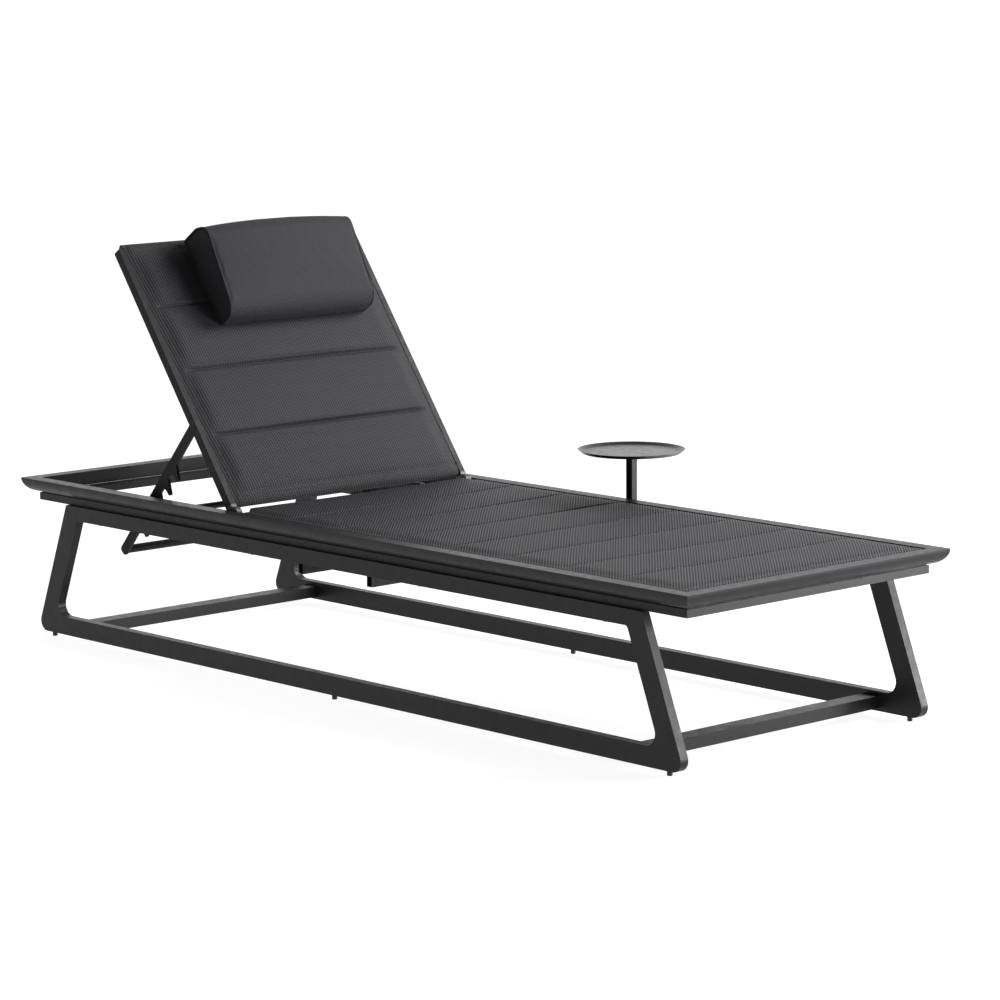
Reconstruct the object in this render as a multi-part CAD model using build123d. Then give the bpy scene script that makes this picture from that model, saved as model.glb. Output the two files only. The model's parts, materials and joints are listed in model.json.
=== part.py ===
"""Reclining sun lounger: bull-nosed deck frame on two trapezoid side frames, padded sling seat,
padded sling backrest that folds flat into the deck, notched strut, headrest pillow and side table.

Millimetres. X runs across the deck, +Y towards the head end, +Z up, floor at Z = 0.
"""
import os
from math import cos, radians, sin, sqrt

from build123d import *

# ---------------------------------------------------------------- driving dimensions
DECK_LENGTH = 2050.0
DECK_WIDTH = 734.0
DECK_HEIGHT = 350.0

RAIL_WIDTH = 32.0            # bull-nosed deck rail
NOSE_RADIUS = 30.0           # its quarter-round underside, also its height
RAIL_WALL = 2.5

SUB_INSET = 29.0             # square tube under the deck rail
SUB_SIZE = 19.0
NECK_WIDTH = 11.0            # narrower crest that leaves a shadow groove under the deck rail
NECK_HEIGHT = 3.0
TUBE_WALL = 2.0

FRAME_INSET = 19.5           # trapezoid side frame, from the deck's edge to its outer face
FRAME_THICK = 20.0
FRAME_WALL = 2.5
FRAME_BOTTOM = 10.0
RUNNER_HEIGHT = 40.0
TOP_RAIL_HEIGHT = 31.5
LEG_WIDTH = 50.0             # measured along the floor
LEG_FOOT_INSET = 25.0        # leg's outer edge at the runner's underside, from the deck's end
LEG_LEAN = 0.3875            # inward run of a leg for each millimetre of height
OUTER_FILLET = 22.0
RUNNER_FILLET = 25.0
TOP_FILLET = 8.0
LEG_SPLIT = 845.0            # joint between the top rail and the legs, from mid-length

STRETCHER_INSET = 146.0
STRETCHER_WIDTH = 40.0
STRETCHER_HEIGHT = 25.0
STRETCHER_BOTTOM = 16.0

CROSS_WIDTH = 16.0
CROSS_HEIGHT = 40.0
CROSS_BOTTOM = 243.0
CROSS_PLACES = (113.0, -100.0)

GLIDE_RADIUS = 5.5
GLIDE_STEM_RADIUS = 3.0
GLIDE_STEM = 6.0
GLIDE_PLACES = (-952.0, 0.0, 952.0)

SCREW_RADIUS = 3.0
SCREW_HEAD_RADIUS = 5.0
SCREW_HEAD = 3.5
FRAME_SCREW_PLACES = (-780.0, -260.0, 260.0, 780.0)

# backrest, described lying flat with the hinge axis at its origin
TILT = 54.4
HINGE_Y = 327.0
HINGE_Z = 343.0
HINGE_TO_FRONT = 6.0         # hinge axis to the frame's front face
BACK_INSET = 36.0            # deck's edge to the side tube's outer face
BACK_TUBE_WIDTH = 14.0
BACK_TUBE_DEPTH = 20.0
BACK_TUBE_START = 20.0
BACK_TUBE_END = 645.0
TOP_BAR = (629.0, 659.0)
BOTTOM_BAR = (21.0, 45.0)
BAR_DEPTH = 16.0
HEM = 2.0                    # sling wrapped round the top and bottom bars
BACK_PAD_LOW = 1.0           # underside and face of the padded sling
BACK_PAD_HIGH = 12.0
BACK_PAD_HALF = 305.0
EDGE_LOW = 3.0               # thin sling edge that runs into the side tubes
EDGE_HIGH = 6.0

KNUCKLE_RADIUS = 15.0
KNUCKLE_PLUG = 18.0
PIN_RADIUS = 4.0
RUNNING_GAP = 0.05
PIN_HEAD_RADIUS = 7.0
PIN_HEAD = 3.5
SIDE_GAP = 0.3

# notched strut, described from its pivot with its arm along +Y and its teeth towards -Z
STRUT_ANGLE = -49.7
STRUT_PIVOT_Y = 227.5
STRUT_PIVOT_Z = -9.0
STRUT_LENGTH = 400.0
STRUT_HALF = 11.0
STRUT_THICK = 6.0
STRUT_BAR_RADIUS = 9.0
TOOTH_COUNT = 5
TOOTH_PITCH = 43.5
TOOTH_FIRST = 150.0
TOOTH_LENGTH = 26.0
TOOTH_BASE = 27.0            # width of a tooth where it leaves the arm
ARM_END_ROUND = 7.0
LUG_THICK = 3.0
LUG_RADIUS = 7.0
STRUT_PIN_RADIUS = 3.0

SUPPORT_BAR_RADIUS = 7.0
SUPPORT_BAR_Y = 606.0
SUPPORT_BAR_Z = 311.0

# seat
SEAT_HEAD_TUBE_Y = 303.0
SEAT_FOOT_TUBE_Y = -966.0
SEAT_TUBE_RADIUS = 9.0
SEAT_HEAD_TUBE_Z = 338.5
SEAT_FOOT_TUBE_Z = 311.0
SEAT_PAD_HEAD = 293.0
SEAT_PAD_FOOT = -989.0
SEAT_PAD_HALF = 331.0
SEAT_PAD_LOW = 332.0
SEAT_PAD_HIGH = 348.0
TRACK_WIDTH = 15.0

# headrest pillow and what holds it, in the backrest's lying-flat frame
PILLOW_X = 45.5              # it sits off centre, towards the table
PILLOW_HALF = 202.5
PILLOW_OUTLINE = ((437.0, 13.5), (650.0, 13.5), (650.0, 62.0), (636.0, 97.0), (454.0, 67.0), (437.0, 48.0))
PILLOW_ROUNDS = (3.0, 3.0, 12.0, 12.0, 8.0, 8.0)
PILLOW_END_ROUND = 4.0
STRAP_HALF = 25.0
STRAP_THICK = 2.0
STRAP_GAP = 0.5
WEIGHT_HALF = 120.0
WEIGHT_Y = (434.0, 564.0)
WEIGHT_Z = (-20.0, -2.0)

# side table
POST_SIZE = 18.0
POST_GAP = 0.5
POST_Y = -138.5
POST_BOTTOM = 271.0
TRAY_BOTTOM = 448.0
TRAY_TOP = 455.5
TRAY_RADIUS = 114.0
TRAY_FOOT_RADIUS = 105.0
TRAY_SHEET = 2.5
HUB_RADIUS = 22.0
HUB_THICK = 4.0
SOCKET_TOP = 300.0
SOCKET_FLOOR = 3.0
SOCKET_WALL = 3.0
SOCKET_GAP = 0.2
TABLE_SCREW_PLACES = (POST_Y - 19.0, POST_Y + 19.0)
TABLE_SCREW_Z = 285.0

# ---------------------------------------------------------------- derived sizes
HALF_W = DECK_WIDTH / 2
HALF_L = DECK_LENGTH / 2
RAIL_BOTTOM = DECK_HEIGHT - NOSE_RADIUS
SUB_BOTTOM = RAIL_BOTTOM - SUB_SIZE
SUB_INNER = HALF_W - SUB_INSET - SUB_SIZE
FRAME_OUT = HALF_W - FRAME_INSET
FRAME_IN = FRAME_OUT - FRAME_THICK
FRAME_MID = (FRAME_OUT + FRAME_IN) / 2
FRAME_SCREW_X = (FRAME_IN + HALF_W - SUB_INSET) / 2
BACK_OUT = HALF_W - BACK_INSET
BACK_IN = BACK_OUT - BACK_TUBE_WIDTH
BACK_LOW = HINGE_TO_FRONT - BACK_TUBE_DEPTH
RAIL_IN = HALF_W - RAIL_WIDTH
LUG_IN = BACK_IN - LUG_THICK
ARM_OUT = LUG_IN - SIDE_GAP
ARM_IN = ARM_OUT - STRUT_THICK
POST_X = HALF_W + POST_GAP + POST_SIZE / 2
DECK_CENTRE_SHIFT = -(POST_X + TRAY_RADIUS - HALF_W) / 2

SIDES = {"right": -1, "left": 1}       # the user's right hand is at -X when lying on the back

NODES = {}


# ---------------------------------------------------------------- helpers
def box(x0, x1, y0, y1, z0, z1):
    """Block between two corners."""
    size = (abs(x1 - x0), abs(y1 - y0), abs(z1 - z0))
    return Pos((x0 + x1) / 2, (y0 + y1) / 2, (z0 + z1) / 2) * Box(*size)


def rod(radius, x0, x1, y, z):
    """Cylinder along X."""
    return Pos((x0 + x1) / 2, y, z) * Rot(0, 90, 0) * Cylinder(radius, abs(x1 - x0))


def post(radius, x, y, z0, z1):
    """Cylinder along Z."""
    return Pos(x, y, (z0 + z1) / 2) * Cylinder(radius, z1 - z0)


def prism_x(face, x0, x1):
    """Extrude a face drawn in (Y, Z) from x0 to x1."""
    low = min(x0, x1)
    plane = Plane(origin=(low, 0, 0), x_dir=(0, 1, 0), z_dir=(1, 0, 0))
    return extrude(plane * face, abs(x1 - x0))


def hollow_box(x0, x1, y0, y1, z0, z1, along, wall=TUBE_WALL):
    """Rectangular tube, open at the two ends along the named axis."""
    trim = {"x": (0, wall, wall), "y": (wall, 0, wall), "z": (wall, wall, 0)}[along]
    inside = box(x0 + trim[0], x1 - trim[0], y0 + trim[1], y1 - trim[1], z0 + trim[2], z1 - trim[2])
    return box(x0, x1, y0, y1, z0, z1) - inside


def seat_back(shape):
    """Turn a piece from the lying-flat frame of the backrest to its raised place."""
    return Pos(0, HINGE_Y, HINGE_Z) * Rot(TILT, 0, 0) * shape


def strut_place(shape):
    """Put a piece of the strut at its pivot on the raised backrest."""
    reach = radians(TILT)
    y = HINGE_Y + STRUT_PIVOT_Y * cos(reach) - STRUT_PIVOT_Z * sin(reach)
    z = HINGE_Z + STRUT_PIVOT_Y * sin(reach) + STRUT_PIVOT_Z * cos(reach)
    return Pos(0, y, z) * Rot(STRUT_ANGLE, 0, 0) * shape


def add(name, *shapes):
    """Keep a node: its solids, moved so that the overall box is centred on the origin."""
    placed = []
    for shape in shapes:
        placed.extend((Pos(DECK_CENTRE_SHIFT, 0, 0) * shape).solids())
    NODES[name] = placed[0] if len(placed) == 1 else Compound(placed)


# ---------------------------------------------------------------- deck frame
def nose_section(half_width):
    """Outline and cavity of the bull-nosed rail at the -X edge, drawn in (X, Z)."""
    x = -half_width
    top = DECK_HEIGHT
    centre = x + NOSE_RADIUS
    diagonal = NOSE_RADIUS * sqrt(0.5)
    outline = make_face([
        Line((x, top), (x + RAIL_WIDTH, top)),
        Line((x + RAIL_WIDTH, top), (x + RAIL_WIDTH, top - NOSE_RADIUS)),
        Line((x + RAIL_WIDTH, top - NOSE_RADIUS), (centre, top - NOSE_RADIUS)),
        ThreePointArc((centre, top - NOSE_RADIUS), (centre - diagonal, top - diagonal), (x, top)),
    ])
    inner = NOSE_RADIUS - RAIL_WALL
    width = RAIL_WIDTH - RAIL_WALL - 2 * RAIL_WALL
    room = Pos(x + width / 2 + 2 * RAIL_WALL, top - RAIL_WALL - NOSE_RADIUS / 2)
    cavity = (Pos(centre, top) * Circle(inner)) & (room * Rectangle(width, NOSE_RADIUS))
    return outline, cavity.faces()[0]


def sub_section(half_width):
    """Outline and cavity of the square tube under the -X rail, drawn in (X, Z)."""
    height = SUB_SIZE - NECK_HEIGHT
    middle = -half_width + SUB_INSET + SUB_SIZE / 2
    centre = (middle, SUB_BOTTOM + height / 2)
    outline = Pos(*centre) * Rectangle(SUB_SIZE, height)
    outline += Pos(middle, SUB_BOTTOM + SUB_SIZE / 2) * Rectangle(NECK_WIDTH, SUB_SIZE)
    cavity = Pos(*centre) * Rectangle(SUB_SIZE - 2 * TUBE_WALL, height - 2 * TUBE_WALL)
    return outline, cavity


def mitred_rail(section, half_width, half_length):
    """Hollow rail along the -X edge with 45 degree mitres at both ends."""
    plane = Plane(origin=(0, half_length, 0), x_dir=(1, 0, 0), z_dir=(0, -1, 0))
    outline, cavity = section(half_width)
    rail = extrude(plane * outline, 2 * half_length) - extrude(plane * cavity, 2 * half_length)
    depth = 80.0
    trapezoid = make_face(Polyline(
        (-half_width, -half_length), (-half_width, half_length),
        (-half_width + depth, half_length - depth), (-half_width + depth, -half_length + depth),
        close=True))
    return rail & extrude(Pos(0, 0, SUB_BOTTOM) * trapezoid, DECK_HEIGHT - SUB_BOTTOM)


def deck_frame():
    """Four bull-nosed rails and the four square tubes under them."""
    for kind, section in (("deck_rail", nose_section), ("sub_rail", sub_section)):
        long_rail = mitred_rail(section, HALF_W, HALF_L)
        short_rail = mitred_rail(section, HALF_L, HALF_W)
        for side, sign in SIDES.items():
            rail = long_rail if sign < 0 else Rot(0, 0, 180) * long_rail
            if kind == "sub_rail":
                for y in FRAME_SCREW_PLACES:
                    rail -= post(SCREW_RADIUS, sign * FRAME_SCREW_X, y, SUB_BOTTOM - 1, SUB_BOTTOM + 8)
            else:
                rail -= rod(PIN_RADIUS, sign * (RAIL_IN - 1), sign * (RAIL_IN + 12), HINGE_Y, HINGE_Z)
            add(f"{kind}_{side}", rail)
        add(f"{kind}_head", Rot(0, 0, -90) * short_rail)
        add(f"{kind}_foot", Rot(0, 0, 90) * short_rail)


# ---------------------------------------------------------------- side frames
def trapezoid_points(inset):
    """Corners of the side frame's outline, drawn in (Y, Z) and moved inwards by inset."""
    slope = sqrt(1 + LEG_LEAN ** 2) * inset
    bottom = FRAME_BOTTOM + inset
    top = SUB_BOTTOM - inset
    low = HALF_L - LEG_FOOT_INSET - LEG_LEAN * (bottom - FRAME_BOTTOM) - slope
    high = HALF_L - LEG_FOOT_INSET - LEG_LEAN * (top - FRAME_BOTTOM) - slope
    return [(-low, bottom), (low, bottom), (high, top), (-high, top)]


def window_points(outset):
    """Corners of the opening inside the side frame, moved outwards by outset."""
    slope = sqrt(1 + LEG_LEAN ** 2) * outset
    bottom = FRAME_BOTTOM + RUNNER_HEIGHT - outset
    top = SUB_BOTTOM - TOP_RAIL_HEIGHT + outset
    edge = HALF_L - LEG_FOOT_INSET - LEG_WIDTH
    low = edge - LEG_LEAN * (bottom - FRAME_BOTTOM) + slope
    high = edge - LEG_LEAN * (top - FRAME_BOTTOM) + slope
    return [(-low, bottom), (low, bottom), (high, top), (-high, top)]


def rounded_outline(points, low_radius, high_radius):
    """Face through four corners, with one radius for the low pair and one for the high pair."""
    face = make_face(Polyline(*points, close=True))
    middle = (points[0][1] + points[2][1]) / 2
    low = [v for v in face.vertices() if v.Y < middle]
    face = fillet(low, low_radius)
    if high_radius > 0:
        high = [v for v in face.vertices() if v.Y > points[2][1] - 0.01]
        face = fillet(high, high_radius)
    return face


def frame_ring():
    """Hollow trapezoid ring of the side frame at -X, as one closed loop of tube."""
    outer = rounded_outline(trapezoid_points(0), OUTER_FILLET, 0)
    window = rounded_outline(window_points(0), RUNNER_FILLET, TOP_FILLET)
    ring = prism_x(outer - window, -FRAME_OUT, -FRAME_IN)
    outer_cavity = rounded_outline(trapezoid_points(FRAME_WALL), OUTER_FILLET - FRAME_WALL, 0)
    window_cavity = rounded_outline(window_points(FRAME_WALL), RUNNER_FILLET + FRAME_WALL,
                                    TOP_FILLET + FRAME_WALL)
    cavity = prism_x(outer_cavity - window_cavity, -FRAME_OUT + FRAME_WALL, -FRAME_IN - FRAME_WALL)
    return ring - cavity


def side_frames():
    """Each side frame as its runner, two legs and top rail."""
    ring = frame_ring()
    runner_top = FRAME_BOTTOM + RUNNER_HEIGHT
    wide = HALF_L
    low_x = -FRAME_OUT - 1
    high_x = -FRAME_IN + 1
    pieces = {
        "runner": ring & box(low_x, high_x, -wide, wide, 0, runner_top),
        "head_leg": ring & box(low_x, high_x, LEG_SPLIT, wide, runner_top, SUB_BOTTOM),
        "foot_leg": ring & box(low_x, high_x, -wide, -LEG_SPLIT, runner_top, SUB_BOTTOM),
        "top_rail": ring & box(low_x, high_x, -LEG_SPLIT, LEG_SPLIT, runner_top, SUB_BOTTOM),
    }
    for y in GLIDE_PLACES:
        pieces["runner"] -= post(GLIDE_STEM_RADIUS, -FRAME_MID, y, 0, FRAME_BOTTOM + GLIDE_STEM)
    for y in FRAME_SCREW_PLACES:
        pieces["top_rail"] -= post(SCREW_RADIUS, -FRAME_SCREW_X, y, SUB_BOTTOM - 50, SUB_BOTTOM + 1)
    for side, sign in SIDES.items():
        for kind, piece in pieces.items():
            placed = piece if sign < 0 else mirror(piece, Plane.YZ)
            if kind == "top_rail" and side == "left":
                for y in TABLE_SCREW_PLACES:
                    placed -= rod(SCREW_RADIUS, FRAME_OUT - 8, FRAME_OUT + 1, y, TABLE_SCREW_Z)
            add(f"{side}_{kind}", placed)


def under_frame():
    """Stretchers, cross members, floor glides and the screws that hold the deck to its frames."""
    reach = FRAME_IN
    for name, sign in (("head_stretcher", 1), ("foot_stretcher", -1)):
        outer = sign * (HALF_L - STRETCHER_INSET)
        inner = outer - sign * STRETCHER_WIDTH
        add(name, hollow_box(-reach, reach, min(outer, inner), max(outer, inner), STRETCHER_BOTTOM,
                             STRETCHER_BOTTOM + STRETCHER_HEIGHT, "x"))
    for name, y in zip(("cross_member_head", "cross_member_foot"), CROSS_PLACES):
        add(name, hollow_box(-reach, reach, y - CROSS_WIDTH / 2, y + CROSS_WIDTH / 2, CROSS_BOTTOM,
                             CROSS_BOTTOM + CROSS_HEIGHT, "x"))
    glides = []
    screws = []
    for sign in SIDES.values():
        for y in GLIDE_PLACES:
            pad = post(GLIDE_RADIUS, sign * FRAME_MID, y, 0, FRAME_BOTTOM)
            pad = chamfer(pad.edges().group_by(Axis.Z)[0], 1.0)
            glides.append(pad + post(GLIDE_STEM_RADIUS, sign * FRAME_MID, y, FRAME_BOTTOM,
                                     FRAME_BOTTOM + GLIDE_STEM))
        for y in FRAME_SCREW_PLACES:
            x = sign * FRAME_SCREW_X
            under = SUB_BOTTOM - TOP_RAIL_HEIGHT
            head = post(SCREW_HEAD_RADIUS, x, y, under - SCREW_HEAD, under)
            screws.append(head + post(SCREW_RADIUS, x, y, under, SUB_BOTTOM + 8))
    add("glides", *glides)
    add("frame_screws", *screws)


# ---------------------------------------------------------------- seat
def seat():
    """Padded seat sling, its side tracks and end tubes."""
    for side, sign in SIDES.items():
        outer = sign * RAIL_IN
        inner = sign * (RAIL_IN - TRACK_WIDTH)
        track = box(outer, inner, SEAT_PAD_FOOT, SEAT_PAD_HEAD, RAIL_BOTTOM, SEAT_PAD_LOW - SIDE_GAP)
        groove = box(inner, inner + sign * 6, SEAT_PAD_FOOT, SEAT_PAD_HEAD, RAIL_BOTTOM + 4,
                     RAIL_BOTTOM + 7)
        add(f"seat_track_{side}", track - groove)
    pad = box(-SEAT_PAD_HALF, SEAT_PAD_HALF, SEAT_PAD_FOOT, SEAT_PAD_HEAD, SEAT_PAD_LOW, SEAT_PAD_HIGH)
    add("seat_sling", fillet(pad.edges(), 3.0))
    for name, half, y, z in (("seat_head_tube", RAIL_IN, SEAT_HEAD_TUBE_Y, SEAT_HEAD_TUBE_Z),
                             ("seat_foot_tube", SUB_INNER, SEAT_FOOT_TUBE_Y, SEAT_FOOT_TUBE_Z)):
        tube = rod(SEAT_TUBE_RADIUS, -half, half, y, z)
        add(name, tube - rod(SEAT_TUBE_RADIUS - TUBE_WALL, -half, half, y, z))


# ---------------------------------------------------------------- backrest
def back_frame():
    """Side tubes, top and bottom bars, hinge knuckles, strut lugs and the pivot pins."""
    top = HINGE_TO_FRONT
    low_bar = top - BAR_DEPTH
    for side, sign in SIDES.items():
        x0, x1 = sorted((sign * BACK_IN, sign * BACK_OUT))
        tube = hollow_box(x0, x1, BACK_TUBE_START, BACK_TUBE_END, BACK_LOW, top, "y")
        slot = box(sign * BACK_IN, sign * (BACK_IN + TUBE_WALL), BACK_TUBE_START, BACK_TUBE_END,
                   EDGE_LOW - 0.5, top - 1)
        pin_hole = rod(STRUT_PIN_RADIUS, sign * (BACK_IN - 1), sign * (BACK_IN + 5), STRUT_PIVOT_Y,
                       STRUT_PIVOT_Z)
        add(f"back_tube_{side}", seat_back(tube - slot - pin_hole))
        cap = box(x0, x1, BACK_TUBE_END, BACK_TUBE_END + 3, BACK_LOW, top)
        add(f"back_tube_cap_{side}", seat_back(chamfer(cap.edges().group_by(Axis.Y)[-1], 1.0)))

        knuckle = rod(KNUCKLE_RADIUS, x0, x1, 0, 0)
        knuckle += box(x0, x1, 0, BACK_TUBE_START, BACK_LOW, top)
        wall = TUBE_WALL
        knuckle += box(x0 + wall, x1 - wall, BACK_TUBE_START, BACK_TUBE_START + KNUCKLE_PLUG,
                       BACK_LOW + wall, EDGE_LOW - 0.5)
        knuckle -= rod(PIN_RADIUS + RUNNING_GAP, x0 - 1, x1 + 1, 0, 0)
        add(f"hinge_knuckle_{side}", seat_back(knuckle))

        lug_x0, lug_x1 = sorted((sign * BACK_IN, sign * LUG_IN))
        lug = rod(LUG_RADIUS, lug_x0, lug_x1, STRUT_PIVOT_Y, STRUT_PIVOT_Z)
        lug += box(lug_x0, lug_x1, STRUT_PIVOT_Y - 18, STRUT_PIVOT_Y + 18, BACK_LOW, -4)
        lug -= rod(STRUT_PIN_RADIUS, lug_x0 - 1, lug_x1 + 1, STRUT_PIVOT_Y, STRUT_PIVOT_Z)
        add(f"strut_lug_{side}", seat_back(lug))

    for name, (y0, y1) in (("back_top_bar", TOP_BAR), ("back_bottom_bar", BOTTOM_BAR)):
        bar = box(-BACK_IN, BACK_IN, y0, y1, low_bar, top - 2)
        bar = fillet(bar.edges().filter_by(Axis.X), 5.0)
        add(name, seat_back(bar))

    pins = []
    for sign in SIDES.values():
        shank = rod(STRUT_PIN_RADIUS, sign * (BACK_IN + 5), sign * (ARM_IN - SIDE_GAP), STRUT_PIVOT_Y,
                    STRUT_PIVOT_Z)
        head = rod(6.0, sign * (ARM_IN - SIDE_GAP), sign * (ARM_IN - SIDE_GAP - 3), STRUT_PIVOT_Y,
                   STRUT_PIVOT_Z)
        pins.append(seat_back(shank + head))
    add("strut_pins", *pins)


def hinge_pins():
    """Shoulder bolts fixed in the deck rails, on which the knuckles turn."""
    pins = []
    for sign in SIDES.values():
        shank = rod(PIN_RADIUS, sign * (RAIL_IN + 12), sign * (BACK_IN - SIDE_GAP), HINGE_Y, HINGE_Z)
        collar = rod(PIN_HEAD_RADIUS, sign * RAIL_IN, sign * (BACK_OUT + SIDE_GAP), HINGE_Y, HINGE_Z)
        head = rod(PIN_HEAD_RADIUS, sign * (BACK_IN - SIDE_GAP), sign * (BACK_IN - SIDE_GAP - PIN_HEAD),
                   HINGE_Y, HINGE_Z)
        pins.append(shank + collar + head)
    add("hinge_pins", *pins)


def wrap(bar, extra):
    """Block with rounded long edges that follows a bar at a distance."""
    y0, y1 = bar
    block = box(-BACK_PAD_HALF, BACK_PAD_HALF, y0 - extra, y1 + extra,
                HINGE_TO_FRONT - BAR_DEPTH - extra, HINGE_TO_FRONT - 2 + extra)
    return fillet(block.edges().filter_by(Axis.X), 5.0 + extra)


def back_sling():
    """Padded sling: a flat pad, thin edges into the side tubes, and hems round both bars."""
    start = BOTTOM_BAR[0]
    end = TOP_BAR[1]
    pad = box(-BACK_PAD_HALF, BACK_PAD_HALF, start + 6, end - 6, BACK_PAD_LOW, BACK_PAD_HIGH)
    edge_half = BACK_IN - SIDE_GAP
    edges = box(-edge_half, edge_half, BOTTOM_BAR[1] + 3, TOP_BAR[0] - 3, EDGE_LOW, EDGE_HIGH)
    gap = 0.3
    sling = pad + edges + wrap(TOP_BAR, HEM) + wrap(BOTTOM_BAR, HEM)
    sling -= wrap(TOP_BAR, gap)
    sling -= wrap(BOTTOM_BAR, gap)
    add("back_sling", seat_back(sling))


# ---------------------------------------------------------------- strut
def tooth(start):
    """One hook: its notch lies on the far side of it from the pivot."""
    reach = TOOTH_LENGTH
    root = -STRUT_HALF + 1
    tip = -STRUT_HALF - reach
    back = start - TOOTH_BASE
    return make_face([
        Line((back, root), (back, -STRUT_HALF)),
        Spline((back, -STRUT_HALF), (start - 17, -STRUT_HALF - 0.5 * reach), (start - 10, tip + 3)),
        ThreePointArc((start - 10, tip + 3), (start - 5.4, tip), (start - 1, tip + 4)),
        Spline((start - 1, tip + 4), (start - 2.6, -STRUT_HALF - 0.4 * reach), (start, -STRUT_HALF)),
        Line((start, -STRUT_HALF), (start, root)),
        Line((start, root), (back, root)),
    ])


def strut():
    """Two toothed arms joined at their lower ends by a round bar."""
    end = STRUT_LENGTH + STRUT_BAR_RADIUS
    arm = Circle(STRUT_HALF) + Pos(end / 2, 0) * Rectangle(end, 2 * STRUT_HALF)
    arm = fillet([v for v in arm.vertices() if v.X > end - 1], ARM_END_ROUND)
    for index in range(TOOTH_COUNT):
        arm += tooth(TOOTH_FIRST + index * TOOTH_PITCH)
    arm -= Circle(STRUT_PIN_RADIUS + RUNNING_GAP)
    for side, sign in SIDES.items():
        add(f"strut_arm_{side}", strut_place(prism_x(arm, sign * ARM_IN, sign * ARM_OUT)))
    bar = rod(STRUT_BAR_RADIUS, -ARM_IN, ARM_IN, STRUT_LENGTH, 0)
    bar -= rod(STRUT_BAR_RADIUS - TUBE_WALL, -ARM_IN, ARM_IN, STRUT_LENGTH, 0)
    add("strut_bar", strut_place(bar))
    half = SUB_INNER
    support = rod(SUPPORT_BAR_RADIUS, -half, half, SUPPORT_BAR_Y, SUPPORT_BAR_Z)
    add("support_bar", support)


# ---------------------------------------------------------------- headrest
def headrest():
    """Wedge pillow on a strap over the top of the backrest, with a flat weight behind."""
    outline = make_face(Polyline(*PILLOW_OUTLINE, close=True))
    for (y, z), radius in zip(PILLOW_OUTLINE, PILLOW_ROUNDS):
        corner = [v for v in outline.vertices() if abs(v.X - y) < 0.01 and abs(v.Y - z) < 0.01]
        outline = fillet(corner, radius)
    pillow = prism_x(outline, PILLOW_X - PILLOW_HALF, PILLOW_X + PILLOW_HALF)
    ends = [edge for edge in pillow.edges() if abs(edge.bounding_box().size.X) < 0.01]
    pillow = fillet(ends, PILLOW_END_ROUND / 2)
    add("pillow", seat_back(pillow))

    top = TOP_BAR[1] + HEM + STRAP_GAP
    back = HINGE_TO_FRONT - BAR_DEPTH - HEM - STRAP_GAP
    front = PILLOW_OUTLINE[1][1] + 20.0
    inside = PILLOW_OUTLINE[1][0] + STRAP_GAP
    outer = top + STRAP_THICK
    under = back - STRAP_THICK
    end = WEIGHT_Y[0] + 20.0
    path = Polyline(
        (inside, front), (top, HINGE_TO_FRONT), (top, back), (end, back), (end, under),
        (outer, under), (outer, HINGE_TO_FRONT), (inside + STRAP_THICK, front), close=True)
    strap = prism_x(make_face(path), PILLOW_X - STRAP_HALF, PILLOW_X + STRAP_HALF)
    add("pillow_strap", seat_back(strap))

    low_x = PILLOW_X - WEIGHT_HALF
    high_x = PILLOW_X + WEIGHT_HALF
    weight = box(low_x, high_x, WEIGHT_Y[0], WEIGHT_Y[1], WEIGHT_Z[0], WEIGHT_Z[1])
    weight = fillet(weight.edges(), 4.0)
    slot = box(PILLOW_X - STRAP_HALF - 1, PILLOW_X + STRAP_HALF + 1, WEIGHT_Y[0] - 1, WEIGHT_Y[1] + 1,
               under - 1, back + 1)
    add("pillow_weight", seat_back(weight - slot))


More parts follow.
